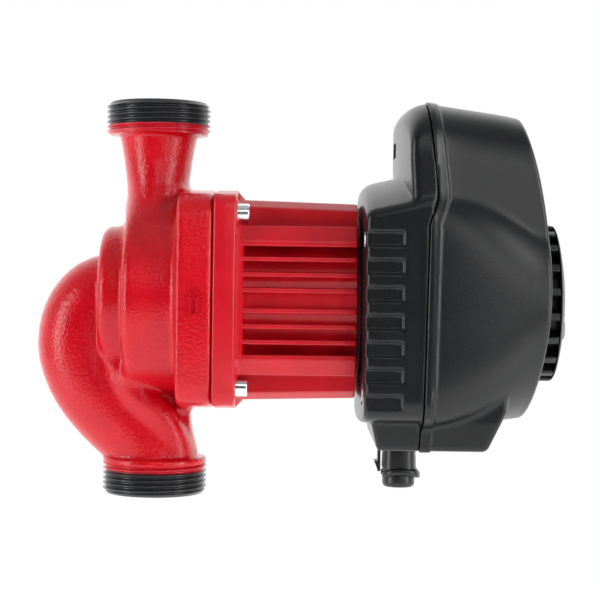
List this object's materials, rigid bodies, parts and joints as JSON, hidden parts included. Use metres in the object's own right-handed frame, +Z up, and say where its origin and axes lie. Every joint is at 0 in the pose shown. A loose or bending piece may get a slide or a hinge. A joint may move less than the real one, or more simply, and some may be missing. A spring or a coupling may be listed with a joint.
{
  "type": "circulator pump",
  "caption": "In-line wet-rotor circulator pump: cast housing with two threaded ports, finned motor and a round-fronted control box with a mains plug below.",
  "frame": {"origin": "centre of the inlet (lower) port's face", "axes": "+Z up the pipe from the inlet port to the outlet port, +X along the motor's axis to the control panel, +Y to the far side of the box from the side with the flow arrow"},
  "size_m": [0.2421, 0.12, 0.18],
  "materials": {
    "red_cast_iron": "glossy red paint over a lumpy casting; bare black threads",
    "red_motor": "satin red paint",
    "stainless": "drawn sheet",
    "zinc_steel": "bright zinc",
    "ceramic": "ground ceramic",
    "carbon": "dark carbon or moulding compound",
    "composite": "glass-filled moulding",
    "rubber": "matt",
    "lamination": "stacked sheet",
    "copper": "enamelled copper wire",
    "black_plastic": "fine moulded grain",
    "panel_plastic": "fine moulded grain",
    "clear_window": "tinted window",
    "button_grey": "soft satin",
    "aluminium": "as extruded",
    "board_green": "solder mask",
    "capacitor_sleeve": "shrink sleeve",
    "terminal_grey": "moulded"
  },
  "bodies": {
    "pump": {"pump_housing": "red_cast_iron", "motor_housing": "red_motor", "neck_ring": "stainless", "bearing_plate": "stainless", "rotor_can": "stainless", "flange_screw_1": "zinc_steel", "flange_screw_2": "zinc_steel", "flange_screw_3": "zinc_steel", "flange_screw_4": "zinc_steel", "box_screw_1": "zinc_steel", "box_screw_2": "zinc_steel", "box_screw_3": "zinc_steel", "box_screw_4": "zinc_steel", "cover_screw_1": "zinc_steel", "cover_screw_2": "zinc_steel", "cover_screw_3": "zinc_steel", "cover_screw_4": "zinc_steel", "front_bearing": "ceramic", "rear_bearing": "ceramic", "power_module": "carbon", "housing_gasket": "rubber", "can_seal": "rubber", "motor_neck_seal": "rubber", "cover_seal": "rubber", "plug_seal": "rubber", "stator_core": "lamination", "stator_winding": "copper", "choke": "copper", "rear_shell": "black_plastic", "front_cover": "black_plastic", "plug_body": "black_plastic", "plug_cap": "black_plastic", "vent_ring": "panel_plastic", "control_panel": "panel_plastic", "panel_lens": "clear_window", "heat_sink": "aluminium", "power_board": "board_green", "control_board": "board_green", "capacitor_1": "capacitor_sleeve", "capacitor_2": "capacitor_sleeve", "terminal_block": "terminal_grey"},
    "rotor": {"shaft": "ceramic", "rotor_core": "lamination", "rotor_sleeve": "stainless", "rotor_cap": "stainless", "thrust_bearing": "carbon", "impeller_hub": "composite", "impeller_shroud": "composite", "impeller_nut": "stainless"},
    "button_up": {"button_up": "button_grey"},
    "button_down": {"button_down": "button_grey"},
    "button_mode": {"button_mode": "button_grey"},
    "latch": {"plug_latch": "black_plastic"}
  },
  "joints": [
    {"name": "rotor_spin", "type": "hinge", "parent": "pump", "child": "rotor", "pos_m": [0, 0, 0.09], "axis": [1, 0, 0], "continuous": true},
    {"name": "button_up_press", "type": "slide", "parent": "pump", "child": "button_up", "axis": [-1, 0, 0], "range_m": [0, 0.0008], "stiffness_N_per_m": 1500, "springref_m": -0.0002},
    {"name": "button_down_press", "type": "slide", "parent": "pump", "child": "button_down", "axis": [-1, 0, 0], "range_m": [0, 0.0008], "stiffness_N_per_m": 1500, "springref_m": -0.0002},
    {"name": "button_mode_press", "type": "slide", "parent": "pump", "child": "button_mode", "axis": [-1, 0, 0], "range_m": [0, 0.0008], "stiffness_N_per_m": 1500, "springref_m": -0.0002},
    {"name": "latch_flex", "type": "hinge", "parent": "pump", "child": "latch", "pos_m": [0.104, 0, 0.0232], "axis": [0, -1, 0], "range_deg": [0, 6], "stiffness_Nm_per_rad": 0.3}
  ]
}
